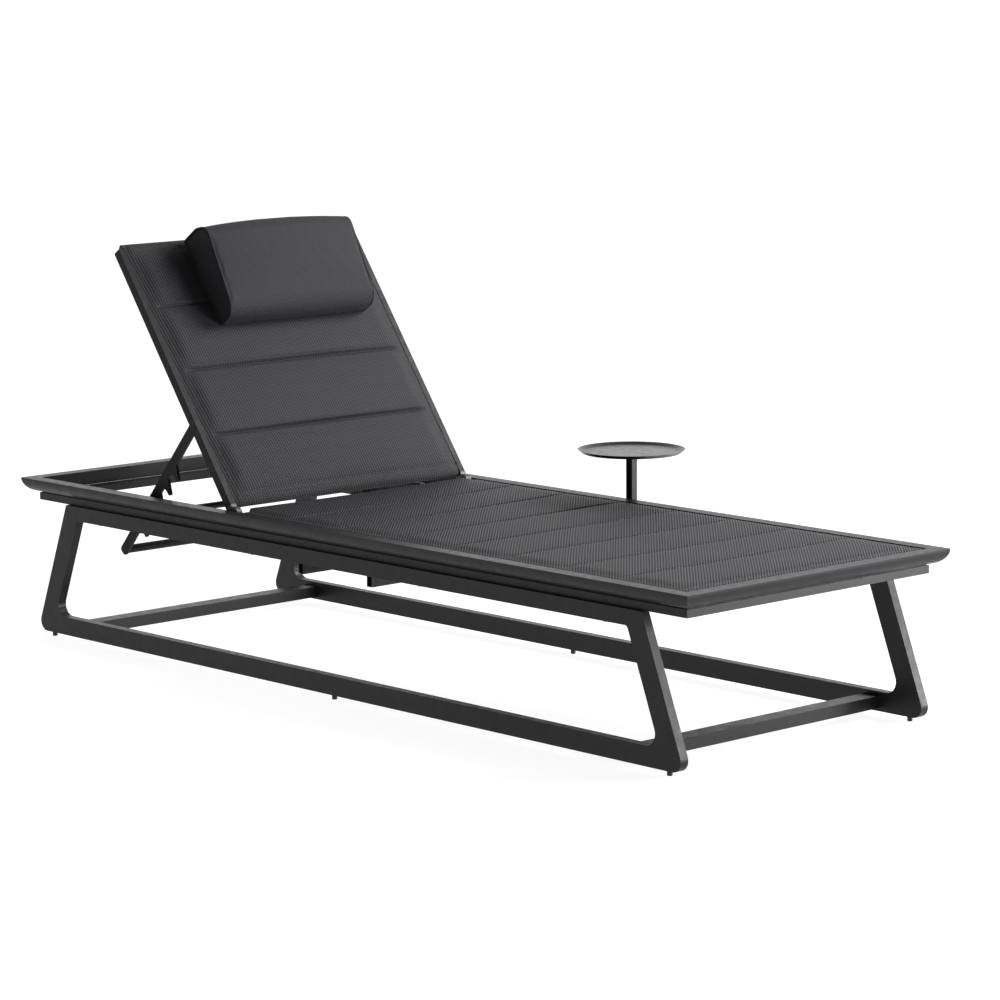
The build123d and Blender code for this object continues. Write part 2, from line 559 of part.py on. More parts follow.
# ---------------------------------------------------------------- side table
def side_table():
    """Bracket with a square socket on the left side frame; post and dished tray lift out of it."""
    half = POST_SIZE / 2
    hole = half + SOCKET_GAP
    shell = hole + SOCKET_WALL
    low = POST_BOTTOM - SOCKET_FLOOR
    socket = box(POST_X - shell, POST_X + shell, POST_Y - shell, POST_Y + shell, low, SOCKET_TOP)
    socket = fillet(socket.edges().filter_by(Axis.Z), 2.0)
    web = box(FRAME_OUT, POST_X - shell + 2, POST_Y - half, POST_Y + half, low + 2, SOCKET_TOP - 2)
    flange = box(FRAME_OUT, FRAME_OUT + 4, POST_Y - 26, POST_Y + 26, low + 2, SOCKET_TOP)
    bracket = socket + web + flange
    bracket -= box(POST_X - hole, POST_X + hole, POST_Y - hole, POST_Y + hole, POST_BOTTOM, SOCKET_TOP + 1)
    screws = []
    for y in TABLE_SCREW_PLACES:
        bracket -= rod(SCREW_RADIUS, FRAME_OUT - 1, FRAME_OUT + 5, y, TABLE_SCREW_Z)
        shank = rod(SCREW_RADIUS, FRAME_OUT - 8, FRAME_OUT + 4, y, TABLE_SCREW_Z)
        screws.append(shank + rod(SCREW_HEAD_RADIUS, FRAME_OUT + 4, FRAME_OUT + 7, y, TABLE_SCREW_Z))
    add("table_bracket", bracket)
    add("table_bracket_screws", *screws)

    hub_low = TRAY_BOTTOM - HUB_THICK
    tube = Pos(POST_X, POST_Y, 0) * (
        extrude(Pos(0, 0, POST_BOTTOM) * RectangleRounded(POST_SIZE, POST_SIZE, 2.5), hub_low - POST_BOTTOM)
        - extrude(Pos(0, 0, POST_BOTTOM) * Rectangle(POST_SIZE - 2 * TUBE_WALL, POST_SIZE - 2 * TUBE_WALL),
                  hub_low - POST_BOTTOM))
    add("table_post", tube)
    hub = post(HUB_RADIUS, POST_X, POST_Y, hub_low, TRAY_BOTTOM)
    add("table_hub", chamfer(hub.edges().group_by(Axis.Z)[0], 1.0))

    floor = TRAY_BOTTOM + TRAY_SHEET
    lip = TRAY_RADIUS - TRAY_SHEET
    section = make_face(Polyline(
        (0, TRAY_BOTTOM), (TRAY_FOOT_RADIUS, TRAY_BOTTOM), (TRAY_RADIUS, TRAY_TOP), (lip, TRAY_TOP),
        (TRAY_FOOT_RADIUS - TRAY_SHEET, floor), (0, floor), close=True))
    tray = revolve(Plane.XZ * section, Axis.Z)
    add("table_tray", Pos(POST_X, POST_Y, 0) * tray)


# ---------------------------------------------------------------- build
deck_frame()
side_frames()
under_frame()
seat()
back_frame()
hinge_pins()
back_sling()
strut()
headrest()
side_table()

os.makedirs("parts", exist_ok=True)
for node, shape in NODES.items():
    export_step(shape, f"parts/{node}.step")
print(len(NODES), "nodes")
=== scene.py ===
"""Looks of the reclining sun lounger: padded slings, headrest, materials, studio and camera.

Metres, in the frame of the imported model: X across the deck, +Y to the head end, +Z up, floor at Z = 0.
"""
import json
from math import cos, pi, radians, sin

import bmesh
import bpy
import numpy as np
from mathutils import Matrix, Vector


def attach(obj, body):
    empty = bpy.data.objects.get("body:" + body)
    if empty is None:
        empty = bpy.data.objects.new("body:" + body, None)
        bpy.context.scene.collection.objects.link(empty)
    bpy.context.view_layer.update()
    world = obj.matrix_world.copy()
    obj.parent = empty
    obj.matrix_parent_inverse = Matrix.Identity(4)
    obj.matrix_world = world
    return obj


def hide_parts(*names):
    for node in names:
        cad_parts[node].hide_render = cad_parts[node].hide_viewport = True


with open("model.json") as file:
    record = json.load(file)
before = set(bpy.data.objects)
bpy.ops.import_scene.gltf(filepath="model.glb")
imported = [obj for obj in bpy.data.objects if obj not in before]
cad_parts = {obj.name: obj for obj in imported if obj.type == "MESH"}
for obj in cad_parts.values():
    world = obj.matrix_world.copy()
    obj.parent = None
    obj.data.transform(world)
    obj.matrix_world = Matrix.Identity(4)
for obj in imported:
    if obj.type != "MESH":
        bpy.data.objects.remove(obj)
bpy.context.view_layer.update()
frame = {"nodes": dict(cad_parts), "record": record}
nodes = frame["nodes"]

# ---------------------------------------------------------------- places shared with the CAD model
DECK_X = -0.06175                # middle of the deck; the side table makes the overall box wider
TILT = radians(54.4)
HINGE = Vector((DECK_X, 0.327, 0.343))
BACK = Matrix.Translation(HINGE) @ Matrix.Rotation(TILT, 4, "X")   # backrest lying flat -> raised

SEAT_HALF = 0.331
SEAT_HEAD = 0.2965
SEAT_FOOT = -0.989
SEAT_LOW = 0.332
SEAT_RIM = 0.3530
SEAT_SEAMS = (0.163, 0.001, -0.161, -0.322, -0.483, -0.644, -0.804)
SEAT_BORDER = 0.012              # flat cloth between the side track and the padding
SEAT_HEMS = (0.018, 0.030)       # stitch lines, from the foot end
SEAT_ROLL = 0.007                # radius of the rolled foot and head ends
SEAT_SIDE_ROLL = 0.006           # width of the rolled side edges
SEAT_END_RISE = 0.004            # the rolled ends start this far above SEAT_LOW
SEAT_SAG = 0.0018                # depth of the sag in the middle
SAG_REACH = 0.25                 # it grows to its full depth over this length from the foot
HEAD_HEM = 0.0180                # the cloth goes on over the head tube between the hinges
HEAD_RISE = 0.0055               # and is this much higher there
HEAD_REACH = 0.030               # length over which it rises
HINGE_CLEAR = 0.313              # half width between the hinges

BACK_HALF = 0.3166
BACK_START = 0.0145
BACK_END = 0.661
BACK_SEAMS = (0.183, 0.341, 0.499)
BACK_BORDER = 0.016              # flat cloth between the side tube and the padding
LOW_HEMS = (0.020, 0.028)        # stitch lines, from the bottom end
HIGH_HEM = 0.026                 # stitch line, from the top end
BACK_ROLL = 0.022                # radius of the rolls round the bars
BACK_FACE = 0.0052               # front of the flat cloth at its side edges
BACK_LIFT = 0.0033               # the cloth in front of the padding's edge is this much further out
BACK_SLOPE = 0.018               # width over which it gets there
BACK_REAR = 0.0040               # rear of the cloth at its side edges
BACK_REAR_DROP = 0.0020          # it is this much lower behind the padding
HIGH_WRAP = 0.034                # the top hem starts this far from the top end
WRAP_SLOPE = 0.004               # length over which the cloth leaves a bar
BAR_MID = -0.003                 # middle of the top and bottom bars' depth
HEM_HALF = 0.0092                # half depth of the sling wrapped round them

# The pillow, strap and pouch are drawn on the flat backrest as (along it, above it).
PILLOW_X = 0.0455
PILLOW_HALF = 0.2025
PILLOW_BACK = 0.0135
PILLOW_RADII = (0.003, 0.003, 0.020, 0.028, 0.030, 0.018)
PILLOW_SIDE = ((0.437, 0.0135), (0.650, 0.0135), (0.650, 0.062),
               (0.636, 0.097), (0.454, 0.067), (0.437, 0.048))
STRAP_HALF = 0.025
STRAP_THICK = 0.0018
STRAP_PATH = ((0.560, 0.0140), (0.600, 0.0142), (0.636, 0.0142), (0.650, 0.0132), (0.658, 0.0105),
              (0.6622, 0.0060), (0.6634, 0.0), (0.6634, -0.006), (0.6616, -0.011), (0.6576, -0.0135),
              (0.645, -0.0142), (0.60, -0.0140), (0.55, -0.0138), (0.505, -0.0138))
POUCH_LOW = (PILLOW_X - 0.118, 0.436, -0.0195)
POUCH_HIGH = (PILLOW_X + 0.118, 0.562, -0.0022)
POUCH_PULL = 0.0025              # the long sides are drawn in by this much at their middle
POUCH_RIM = 0.12                 # thickness at the rim, as a share of the full thickness


# ---------------------------------------------------------------- node helpers
class Shader:
    """A Principled material being put together."""

    def __init__(self, name):
        self.material = bpy.data.materials.new(name)
        self.material.use_nodes = True
        self.tree = self.material.node_tree
        self.tree.nodes.clear()
        self.out = self.tree.nodes.new("ShaderNodeOutputMaterial")
        self.bsdf = self.tree.nodes.new("ShaderNodeBsdfPrincipled")
        self.link(self.bsdf.outputs[0], self.out.inputs["Surface"])
        self.coord = self.tree.nodes.new("ShaderNodeTexCoord")

    def link(self, source, target):
        self.tree.links.new(source, target)

    def put(self, **values):
        for key, value in values.items():
            self.bsdf.inputs[key.replace("_", " ")].default_value = value

    def math(self, operation, a, b=None):
        node = self.tree.nodes.new("ShaderNodeMath")
        node.operation = operation
        for socket, value in zip(node.inputs, (a, b)):
            if value is None:
                continue
            if isinstance(value, (int, float)):
                socket.default_value = value
            else:
                self.link(value, socket)
        return node.outputs[0]

    def noise(self, scale, detail, stretch=None):
        node = self.tree.nodes.new("ShaderNodeTexNoise")
        node.inputs["Scale"].default_value = scale
        node.inputs["Detail"].default_value = detail
        node.inputs["Roughness"].default_value = 0.55
        source = self.coord.outputs["Object"]
        if stretch:
            mapping = self.tree.nodes.new("ShaderNodeMapping")
            mapping.inputs["Scale"].default_value = stretch
            self.link(source, mapping.inputs["Vector"])
            source = mapping.outputs[0]
        self.link(source, node.inputs["Vector"])
        return node.outputs[0]

    def span(self, value, low, high, to_low, to_high):
        return map_range(self.tree, value, low, high, to_low, to_high)

    def ramp(self, value, stops):
        node = self.tree.nodes.new("ShaderNodeValToRGB")
        self.link(value, node.inputs[0])
        ramp = node.color_ramp
        while len(ramp.elements) < len(stops):
            ramp.elements.new(0.5)
        for element, (place, colour) in zip(ramp.elements, stops):
            element.position = place
            element.color = (*colour, 1.0)
        return node.outputs[0]

    def mix(self, factor, a, b):
        node = self.tree.nodes.new("ShaderNodeMix")
        node.data_type = "RGBA"
        self.link(factor, node.inputs[0])
        for socket, value in ((node.inputs[6], a), (node.inputs[7], b)):
            if isinstance(value, tuple):
                socket.default_value = (*value, 1.0)
            else:
                self.link(value, socket)
        return node.outputs[2]

    def split(self, vector):
        node = self.tree.nodes.new("ShaderNodeSeparateXYZ")
        self.link(vector, node.inputs[0])
        return node.outputs

    def bump(self, height, distance, strength, under=None):
        node = self.tree.nodes.new("ShaderNodeBump")
        node.inputs["Strength"].default_value = strength
        node.inputs["Distance"].default_value = distance
        self.link(height, node.inputs["Height"])
        if under is not None:
            self.link(under, node.inputs["Normal"])
        return node.outputs[0]

    def colour(self, socket):
        self.link(socket, self.bsdf.inputs["Base Color"])

    def roughness(self, socket):
        self.link(socket, self.bsdf.inputs["Roughness"])

    def normal(self, socket):
        self.link(socket, self.bsdf.inputs["Normal"])


def map_range(tree, value, low, high, to_low, to_high):
    """Map Range node from low..high to to_low..to_high."""
    node = tree.nodes.new("ShaderNodeMapRange")
    tree.links.new(value, node.inputs["Value"])
    for key, number in zip(("From Min", "From Max", "To Min", "To Max"), (low, high, to_low, to_high)):
        node.inputs[key].default_value = number
    return node.outputs[0]


def shade(colour, factor):
    """The colour, darker or lighter."""
    return tuple(channel * factor for channel in colour)


# ---------------------------------------------------------------- materials
def powder_coat(name, colour, rough, shine, peel=1.0):
    """Satin powder coat: orange-peel texture, faint mottling, paler rubbed edges."""
    s = Shader(name)
    s.put(Metallic=0.0, Specular_IOR_Level=shine)
    mottle = s.noise(9.0, 4.0)
    body = s.ramp(mottle, ((0.3, shade(colour, 0.9)), (0.7, shade(colour, 1.12))))
    geometry = s.tree.nodes.new("ShaderNodeNewGeometry")
    edge = s.span(geometry.outputs["Pointiness"], 0.515, 0.56, 0.0, 0.16)
    s.colour(s.mix(edge, body, shade(colour, 1.8)))
    s.roughness(s.span(s.noise(60.0, 3.0), 0.3, 0.7, rough - 0.05, rough + 0.07))
    fine = s.bump(s.noise(900.0, 2.0), 0.00012 * peel, 0.6)
    s.normal(s.bump(s.noise(140.0, 2.0), 0.0002 * peel, 0.3, fine))
    return s.material


def plastic(name, colour, rough):
    """Moulded plastic with a fine grain."""
    s = Shader(name)
    s.put(Specular_IOR_Level=0.45)
    s.colour(s.ramp(s.noise(35.0, 4.0), ((0.3, shade(colour, 0.88)), (0.7, shade(colour, 1.1)))))
    s.roughness(s.span(s.noise(150.0, 2.0), 0.3, 0.7, rough - 0.06, rough + 0.08))
    s.normal(s.bump(s.noise(1600.0, 2.0), 0.00008, 0.5))
    return s.material


def steel(name):
    """Plated steel with fine turning marks."""
    s = Shader(name)
    s.put(Metallic=1.0)
    s.colour(s.ramp(s.noise(60.0, 3.0), ((0.3, (0.3, 0.3, 0.31)), (0.7, (0.42, 0.42, 0.43)))))
    s.roughness(s.span(s.noise(400.0, 2.0, stretch=(1.0, 6.0, 1.0)), 0.3, 0.7, 0.28, 0.42))
    s.normal(s.bump(s.noise(900.0, 2.0), 0.00005, 0.4))
    return s.material


def woven(name, colour, pitch, depth, thread_gain, twill=0.5, rough=0.62, dots=0.7):
    """Coated yarn cloth: over-and-under yarns that step sideways in each row, so the weave runs diagonally.

    The pattern goes by Object X and Y, with Z in place of the axis that a face looks along. thread_gain
    spreads the tones of the yarns, twill slants them, and dots sets how far they break up into knots.
    """
    s = Shader(name)
    s.put(Specular_IOR_Level=0.20, Sheen_Weight=0.03, Sheen_Roughness=0.5)
    s.put(Sheen_Tint=(0.75, 0.77, 0.82, 1.0))
    place = s.split(s.coord.outputs["Object"])
    facing = s.split(s.coord.outputs["Normal"])
    turned = [s.math("GREATER_THAN", s.math("ABSOLUTE", facing[axis]), 0.75) for axis in (0, 1)]
    turns = 2 * pi / pitch
    u, v = [
        s.math("MULTIPLY", turns, s.math(
            "ADD", s.math("MULTIPLY", place[axis], s.math("SUBTRACT", 1.0, turned[axis])),
            s.math("MULTIPLY", place[2], turned[axis])))
        for axis in (0, 1)]
    diagonal = s.math("SINE", s.math("ADD", u, s.math("MULTIPLY", v, twill)))
    knots = s.math("MULTIPLY", s.math("SINE", s.math("ADD", u, v)), s.math("SINE", s.math("SUBTRACT", v, u)))
    yarn = s.math("ADD", s.math("MULTIPLY", diagonal, 1.2 - dots), s.math("MULTIPLY", knots, dots))
    height = s.span(yarn, -1.1, 1.1, 0.0, 1.0)
    dark = shade(colour, max(0.06, 1.0 - 0.55 * thread_gain))
    light = shade(colour, 1.0 + 0.75 * thread_gain)
    cloth = s.ramp(height, ((0.12, dark), (0.5, colour), (0.9, light)))
    worn = s.span(s.noise(5.0, 4.0), 0.3, 0.7, 0.0, 0.5)
    s.colour(s.mix(worn, cloth, s.ramp(height, ((0.12, shade(dark, 0.85)), (0.9, shade(light, 0.88))))))
    s.roughness(s.span(height, 0.0, 1.0, rough + 0.12, rough - 0.1))
    fuzz = s.bump(s.noise(700.0, 2.0), 0.0002, 0.25)
    s.normal(s.bump(height, depth, 0.7, fuzz))
    return s.material


def webbing(name, colour):
    """Ribbed strap."""
    s = Shader(name)
    s.put(Specular_IOR_Level=0.3, Sheen_Weight=0.2)
    place = s.split(s.coord.outputs["Object"])
    rib = s.math("SINE", s.math("MULTIPLY", place[0], 2 * pi / 0.004))
    cross = s.math("SINE", s.math("MULTIPLY", s.math("ADD", place[1], place[2]), 2 * pi / 0.002))
    height = s.span(s.math("ADD", rib, s.math("MULTIPLY", cross, 0.4)), -1.4, 1.4, 0.0, 1.0)
    s.colour(s.ramp(height, ((0.1, shade(colour, 0.5)), (0.9, shade(colour, 1.4)))))
    s.roughness(s.span(height, 0.0, 1.0, 0.85, 0.7))
    s.normal(s.bump(height, 0.0006, 0.8))
    return s.material


def thread_material(name, colour):
    """Sewing thread."""
    s = Shader(name)
    s.put(Specular_IOR_Level=0.3, Sheen_Weight=0.3)
    twist = s.noise(900.0, 2.0)
    s.colour(s.ramp(twist, ((0.3, shade(colour, 0.7)), (0.7, shade(colour, 1.3)))))
    s.roughness(s.span(twist, 0.3, 0.7, 0.6, 0.8))
    return s.material


FRAME_COLOUR = (0.0080, 0.0079, 0.0096)
CLOTH_COLOUR = (0.0165, 0.0165, 0.0190)
PILLOW_COLOUR = (0.0215, 0.0208, 0.0238)

paint = powder_coat("graphite_powder_coat", FRAME_COLOUR, rough=0.40, shine=0.23)
strut_paint = powder_coat("strut_powder_coat", shade(FRAME_COLOUR, 0.9), rough=0.46, shine=0.13)
# The tray's paint is the frame's paint made 1.25 times lighter: painted light that adds to the sheen its top
# catches from the bright side of the room.
tray_paint = powder_coat("tray_powder_coat_painted_light", shade(FRAME_COLOUR, 1.25), rough=0.29, shine=0.28, peel=0.35)
black = plastic("black_plastic", (0.008, 0.008, 0.009), rough=0.5)
grey = plastic("grey_plastic", (0.040, 0.040, 0.044), rough=0.42)
plated = steel("plated_steel")
dark_screw = powder_coat("blackened_screw", shade(FRAME_COLOUR, 0.8), rough=0.35, shine=0.3)
back_cloth_weave = woven("back_sling_mesh", shade(CLOTH_COLOUR, 0.93), pitch=0.0066, depth=0.0009,
                         thread_gain=2.1, twill=0.1)
# The seat's cloth is the backrest's sling cloth made darker (0.62 against 0.93 of CLOTH_COLOUR): painted
# shade that tones down how bright the seat comes out under the lights.
seat_cloth_shaded_weave = woven("seat_sling_mesh_painted_shade", shade(CLOTH_COLOUR, 0.62), pitch=0.0076, depth=0.0013,
                         thread_gain=2.1, twill=-1.0, dots=0.15)
pillow_cloth = woven("pillow_cloth", PILLOW_COLOUR, pitch=0.0048, depth=0.0006, thread_gain=1.7, rough=0.7)
strap_web = webbing("strap_webbing", (0.016, 0.0165, 0.018))
thread = thread_material("thread", (0.006, 0.006, 0.007))
piping_cloth = woven("piping_cloth", shade(PILLOW_COLOUR, 0.95), pitch=0.0022, depth=0.0003,
                     thread_gain=0.4, rough=0.7)

BY_SLOT = {
    "frame_paint": paint, "strut_paint": strut_paint, "tray_paint": tray_paint, "steel": plated,
    "black_plastic": black, "grey_plastic": grey, "padded_sling": seat_cloth_shaded_weave,
    "pillow_cloth": pillow_cloth, "strap_web": strap_web,
}
DARK_SCREWS = ("frame_screws", "table_bracket_screws", "strut_pins")
DULL_PREFIXES = ("back_tube", "strut_lug")       # nodes with the strut's duller paint


def dress_nodes():
    """Give each CAD node the material of its slot, or its own where it differs in shine."""
    slot_of = {part["node"]: part["material_slot"] for part in frame["record"]["subparts"]}
    for name, obj in nodes.items():
        material = BY_SLOT[slot_of[name]]
        if name in DARK_SCREWS:
            material = dark_screw
        if name.startswith(DULL_PREFIXES):
            material = strut_paint
        for slot in obj.material_slots:
            slot.link = "OBJECT"
            slot.material = material


# ---------------------------------------------------------------- mesh helpers
def add_object(name, data):
    """Object that shows the data, linked into the scene."""
    obj = bpy.data.objects.new(name, data)
    bpy.context.scene.collection.objects.link(obj)
    return obj


def new_mesh(name, vertices, faces, material):
    """Smooth-shaded mesh object from vertices and faces."""
    mesh = bpy.data.meshes.new(name)
    mesh.from_pydata([tuple(v) for v in vertices], [], faces)
    mesh.update()
    mesh.materials.append(material)
    mesh.polygons.foreach_set("use_smooth", [True] * len(mesh.polygons))
    return add_object(name, mesh)


def loop_faces(rows, columns, closed_columns):
    """Quads of a grid of rows x columns vertices, the columns closed into rings if asked."""
    faces = []
    last = columns if closed_columns else columns - 1
    for row in range(rows - 1):
        for column in range(last):
            a = row * columns + column
            b = row * columns + (column + 1) % columns
            faces.append((a, b, b + columns, a + columns))
    return faces


def closed_pad(name, upper, lower, material):
    """Closed body from an upper and a lower grid of points of the same size, joined round their rims."""
    rows, columns = upper.shape[:2]
    offset = rows * columns
    faces = loop_faces(rows, columns, False)
    faces += [tuple(offset + i for i in reversed(face)) for face in faces]
    rim = list(range(columns))
    rim += [row * columns + columns - 1 for row in range(1, rows)]
    rim += [(rows - 1) * columns + column for column in range(columns - 2, -1, -1)]
    rim += [row * columns for row in range(rows - 2, 0, -1)]
    for i, a in enumerate(rim):
        b = rim[(i + 1) % len(rim)]
        faces.append((b, a, a + offset, b + offset))
    return new_mesh(name, np.concatenate((upper, lower)).reshape(-1, 3), faces, material)


def closed_bead(name, points, radius, material):
    """Round bead that follows a closed loop of points."""
    sides = 8
    count = len(points)
    vertices = []
    for i, point in enumerate(points):
        tangent = (points[(i + 1) % count] - points[i - 1]).normalized()
        if i == 0:
            side = tangent.orthogonal().normalized()
        else:
            side = (side - tangent * side.dot(tangent)).normalized()
        up = tangent.cross(side)
        for k in range(sides):
            angle = 2 * pi * k / sides
            vertices.append(point + side * (radius * cos(angle)) + up * (radius * sin(angle)))
    faces = loop_faces(count, sides, True)
    base = (count - 1) * sides
    faces += [(base + k, base + (k + 1) % sides, (k + 1) % sides, k) for k in range(sides)]
    return new_mesh(name, vertices, faces, material)


def join(name, parts):
    """Join several objects of one material into one."""
    bm = bmesh.new()
    for part in parts:
        bm.from_mesh(part.data)
    mesh = bpy.data.meshes.new(name)
    bm.to_mesh(mesh)
    bm.free()
    mesh.materials.append(parts[0].data.materials[0])
    for part in parts:
        bpy.data.objects.remove(part)
    return add_object(name, mesh)


def read_points(mesh):
    """Places of a mesh's vertices, one row each."""
    points = np.empty(len(mesh.vertices) * 3)
    mesh.vertices.foreach_get("co", points)
    return points.reshape(-1, 3)


def write_points(mesh, points):
    """Move a mesh's vertices to the given places."""
    mesh.vertices.foreach_set("co", points.ravel())
    mesh.update()


# ---------------------------------------------------------------- curves of the cloth
def value_noise(x, y, seed):
    """Smooth pseudo-random ripple of about -1 to 1, made of a few fixed waves."""
    rng = np.random.default_rng(seed)
    total = np.zeros_like(x)
    for _ in range(7):
        angle = rng.uniform(0, 2 * pi)
        rate = rng.uniform(6.0, 34.0)
        phase = rng.uniform(0, 2 * pi)
        total += np.sin(rate * (x * cos(angle) + y * sin(angle)) + phase)
    return total / 4.0


def fade(distance, reach):
    """0 up to no distance, then rising in a line to 1 at the reach."""
    return np.clip(distance / reach, 0.0, 1.0)


def rolled(distance, radius):
    """0 at the edge, then rising in a quarter circle to 1 at the radius."""
    return np.sqrt(1 - (1 - fade(distance, radius)) ** 2)


def ridge(y, place, width):
    """1 at the place, falling off on both sides over about the width."""
    return np.exp(-((y - place) / width) ** 2)


def near_seams(y, seams, width):
    """1 at every seam, falling off on both sides over about the width."""
    return np.max([ridge(y, seam, width) for seam in seams], axis=0)


# ---------------------------------------------------------------- padded slings
EDGE_COLUMNS = 14                # columns of the grid in each border
MIDDLE_COLUMNS = 96
FINE_REACH = 0.016               # rows are finer this near to a seam or an end
SWELL_WIDTH = 0.030              # the padding rises to its full height over this width
PINCH_WIDTH = 0.0032
PUCKER_WIDTH = 0.022
PUCKER_PITCH = 0.021
LIP_OFFSET = 0.0065              # each seam has a low lip this far above it
LIP_WIDTH = 0.0034
RIPPLE_HEIGHT = 0.0004
PUCKER_HEIGHT = 0.00022
BORDER_DIP = 0.0006              # the borders lie this much below the cloth's own height
HEM_SIDE_WIDTH = 0.0018          # width of the shallower groove of a hem's second stitch line
HEM_SIDE_DEPTH = 0.7             # its depth, as a share of the main groove's

STITCH_LENGTH = 0.0042
STITCH_GAP = 0.0018
STITCH_RADIUS = 0.00045
STITCH_SIDES = 6
STITCH_END = 0.35                # the ends of a stitch are this much thinner than its middle
HEM_EDGE_COLUMNS = 6             # the seat's hem stitches start nearer to the edge than its seams


def finer_rows(start, end, seams, coarse, fine):
    """Y stations from start to end, closer together beside the seams and the two ends."""
    places = [start]
    while places[-1] < end:
        y = places[-1]
        gap = min(abs(y - s) for s in (*seams, start, end))
        places.append(y + (fine if gap < FINE_REACH else coarse))
    places[-1] = end
    return np.array(places)


def sling_columns(half, border):
    """X stations across a sling: close together at the borders, wider in the middle."""
    edge = np.linspace(0.0, border, EDGE_COLUMNS)
    middle = np.linspace(border, 2 * half - border, MIDDLE_COLUMNS)[1:-1]
    far = 2 * half - edge[::-1]
    return np.concatenate((edge, middle, far)) - half


def channel_height(y, seams, start, end, crown, valley):
    """Height of the padding over its base: a low crown in each channel, a pinched seam between."""
    edges = np.array(sorted((start, *seams, end)))
    index = np.clip(np.searchsorted(edges, y) - 1, 0, len(edges) - 2)
    low = edges[index]
    high = edges[index + 1]
    t = np.clip((y - low) / (high - low), 0.0, 1.0)
    lift = 1.0 - np.abs(2 * t - 1) ** 2.6
    return crown * lift ** 0.7 - valley * near_seams(y, seams, PINCH_WIDTH)


def quilted_surface(x, y, half, border, seams, start, end, crown, valley, lip_height, seed):
    """Height of the padded face above the flat cloth at its borders."""
    swell = np.sin(fade(half - np.abs(x) - border, SWELL_WIDTH) * pi / 2)
    pad = channel_height(y, seams, start, end, crown, valley)
    ripple = value_noise(x * 1.4, y * 1.4, seed) * RIPPLE_HEIGHT
    waves = np.sin(x * 2 * pi / PUCKER_PITCH + 3.0 * value_noise(x, y, seed + 3))
    pucker = waves * PUCKER_HEIGHT * near_seams(y, seams, PUCKER_WIDTH)
    lips = 0.0
    for seam in seams:
        uneven = 0.7 + 0.3 * np.sin(x * 9.0 + seam * 40.0)
        lips = lips + ridge(y, seam + LIP_OFFSET, LIP_WIDTH) * lip_height * uneven
    return swell * (pad + ripple + pucker + lips) - BORDER_DIP * (1 - swell)


def stitch_row(xs, y, heights):
    """Short stitches in a row across the cloth, at the given heights."""
    vertices = []
    faces = []
    pattern = loop_faces(3, STITCH_SIDES, True)
    start = xs[0]
    while start + STITCH_LENGTH < xs[-1]:
        end = start + STITCH_LENGTH
        z_start, z_end = (float(np.interp(x, xs, heights)) for x in (start, end))
        middle = ((start + end) / 2, (z_start + z_end) / 2 + STITCH_RADIUS)
        base = len(vertices)
        for (x, z), size in (((start, z_start), STITCH_END), (middle, 1.0), ((end, z_end), STITCH_END)):
            radius = STITCH_RADIUS * size
            for k in range(STITCH_SIDES):
                angle = 2 * pi * k / STITCH_SIDES
                vertices.append((x, y + radius * cos(angle), z + radius * sin(angle)))
        faces += [tuple(base + i for i in face) for face in pattern]
        start += STITCH_LENGTH + STITCH_GAP
    return new_mesh("stitches", vertices, faces, thread)


def sew(places, rows, columns, heights, edge_columns):
    """A row of stitches at each place, leaving out the columns at both edges."""
    inner = slice(edge_columns, len(columns) - edge_columns)
    nearest = [int(np.argmin(np.abs(rows - place))) for place in places]
    return [stitch_row(columns[inner], place, heights[row][inner]) for place, row in zip(places, nearest)]


def seat_sling():
    """Seat sling: padded in channels between the side tracks, with a hem at the foot."""
    rows = finer_rows(SEAT_FOOT, SEAT_HEAD, SEAT_SEAMS, coarse=0.0065, fine=0.0014)
    columns = sling_columns(SEAT_HALF, SEAT_BORDER)
    x, y = np.meshgrid(columns, rows)
    hems = [SEAT_FOOT + hem for hem in SEAT_HEMS]
    pad = quilted_surface(x, y, SEAT_HALF, SEAT_BORDER, SEAT_SEAMS, hems[1], SEAT_HEAD,
                          crown=0.0036, valley=0.0030, lip_height=0.0006, seed=4)
    sag = SEAT_SAG * (1 - (x / SEAT_HALF) ** 2) * fade(y - SEAT_FOOT, SAG_REACH)
    hem = ridge(y, hems[1], 0.0022) + HEM_SIDE_DEPTH * ridge(y, hems[0], HEM_SIDE_WIDTH)
    roll = rolled(y - SEAT_FOOT, SEAT_ROLL) * rolled(SEAT_HEAD - y, SEAT_ROLL)
    side_roll = fade(SEAT_HALF - np.abs(x), SEAT_SIDE_ROLL) ** 0.5
    end_height = SEAT_LOW + SEAT_END_RISE
    z_top = SEAT_RIM - 0.0025 + pad - sag - 0.0012 * hem
    z_top = end_height + (z_top - end_height) * roll
    z_top = z_top - 0.002 * (1 - side_roll)
    z_low = SEAT_LOW + 0.0012 + 0.2 * (SEAT_RIM - SEAT_LOW) * (1 - roll)
    over_tube = fade(y - SEAT_HEAD + HEAD_REACH, HEAD_REACH) * fade(HINGE_CLEAR - np.abs(x), 0.012)
    y = y + HEAD_HEM * over_tube
    z_top = z_top + HEAD_RISE * over_tube ** 2 * roll
    obj = closed_pad("seat_sling_cloth", np.stack((x + DECK_X, y, z_top), -1),
                     np.stack((x + DECK_X, y, z_low), -1), seat_cloth_shaded_weave)
    sunk = z_top - 0.0003
    stitches = sew(SEAT_SEAMS, rows, columns + DECK_X, sunk, EDGE_COLUMNS)
    stitches += sew(hems, rows, columns + DECK_X, sunk, HEM_EDGE_COLUMNS)
    return obj, join("seat_sling_stitching", stitches)


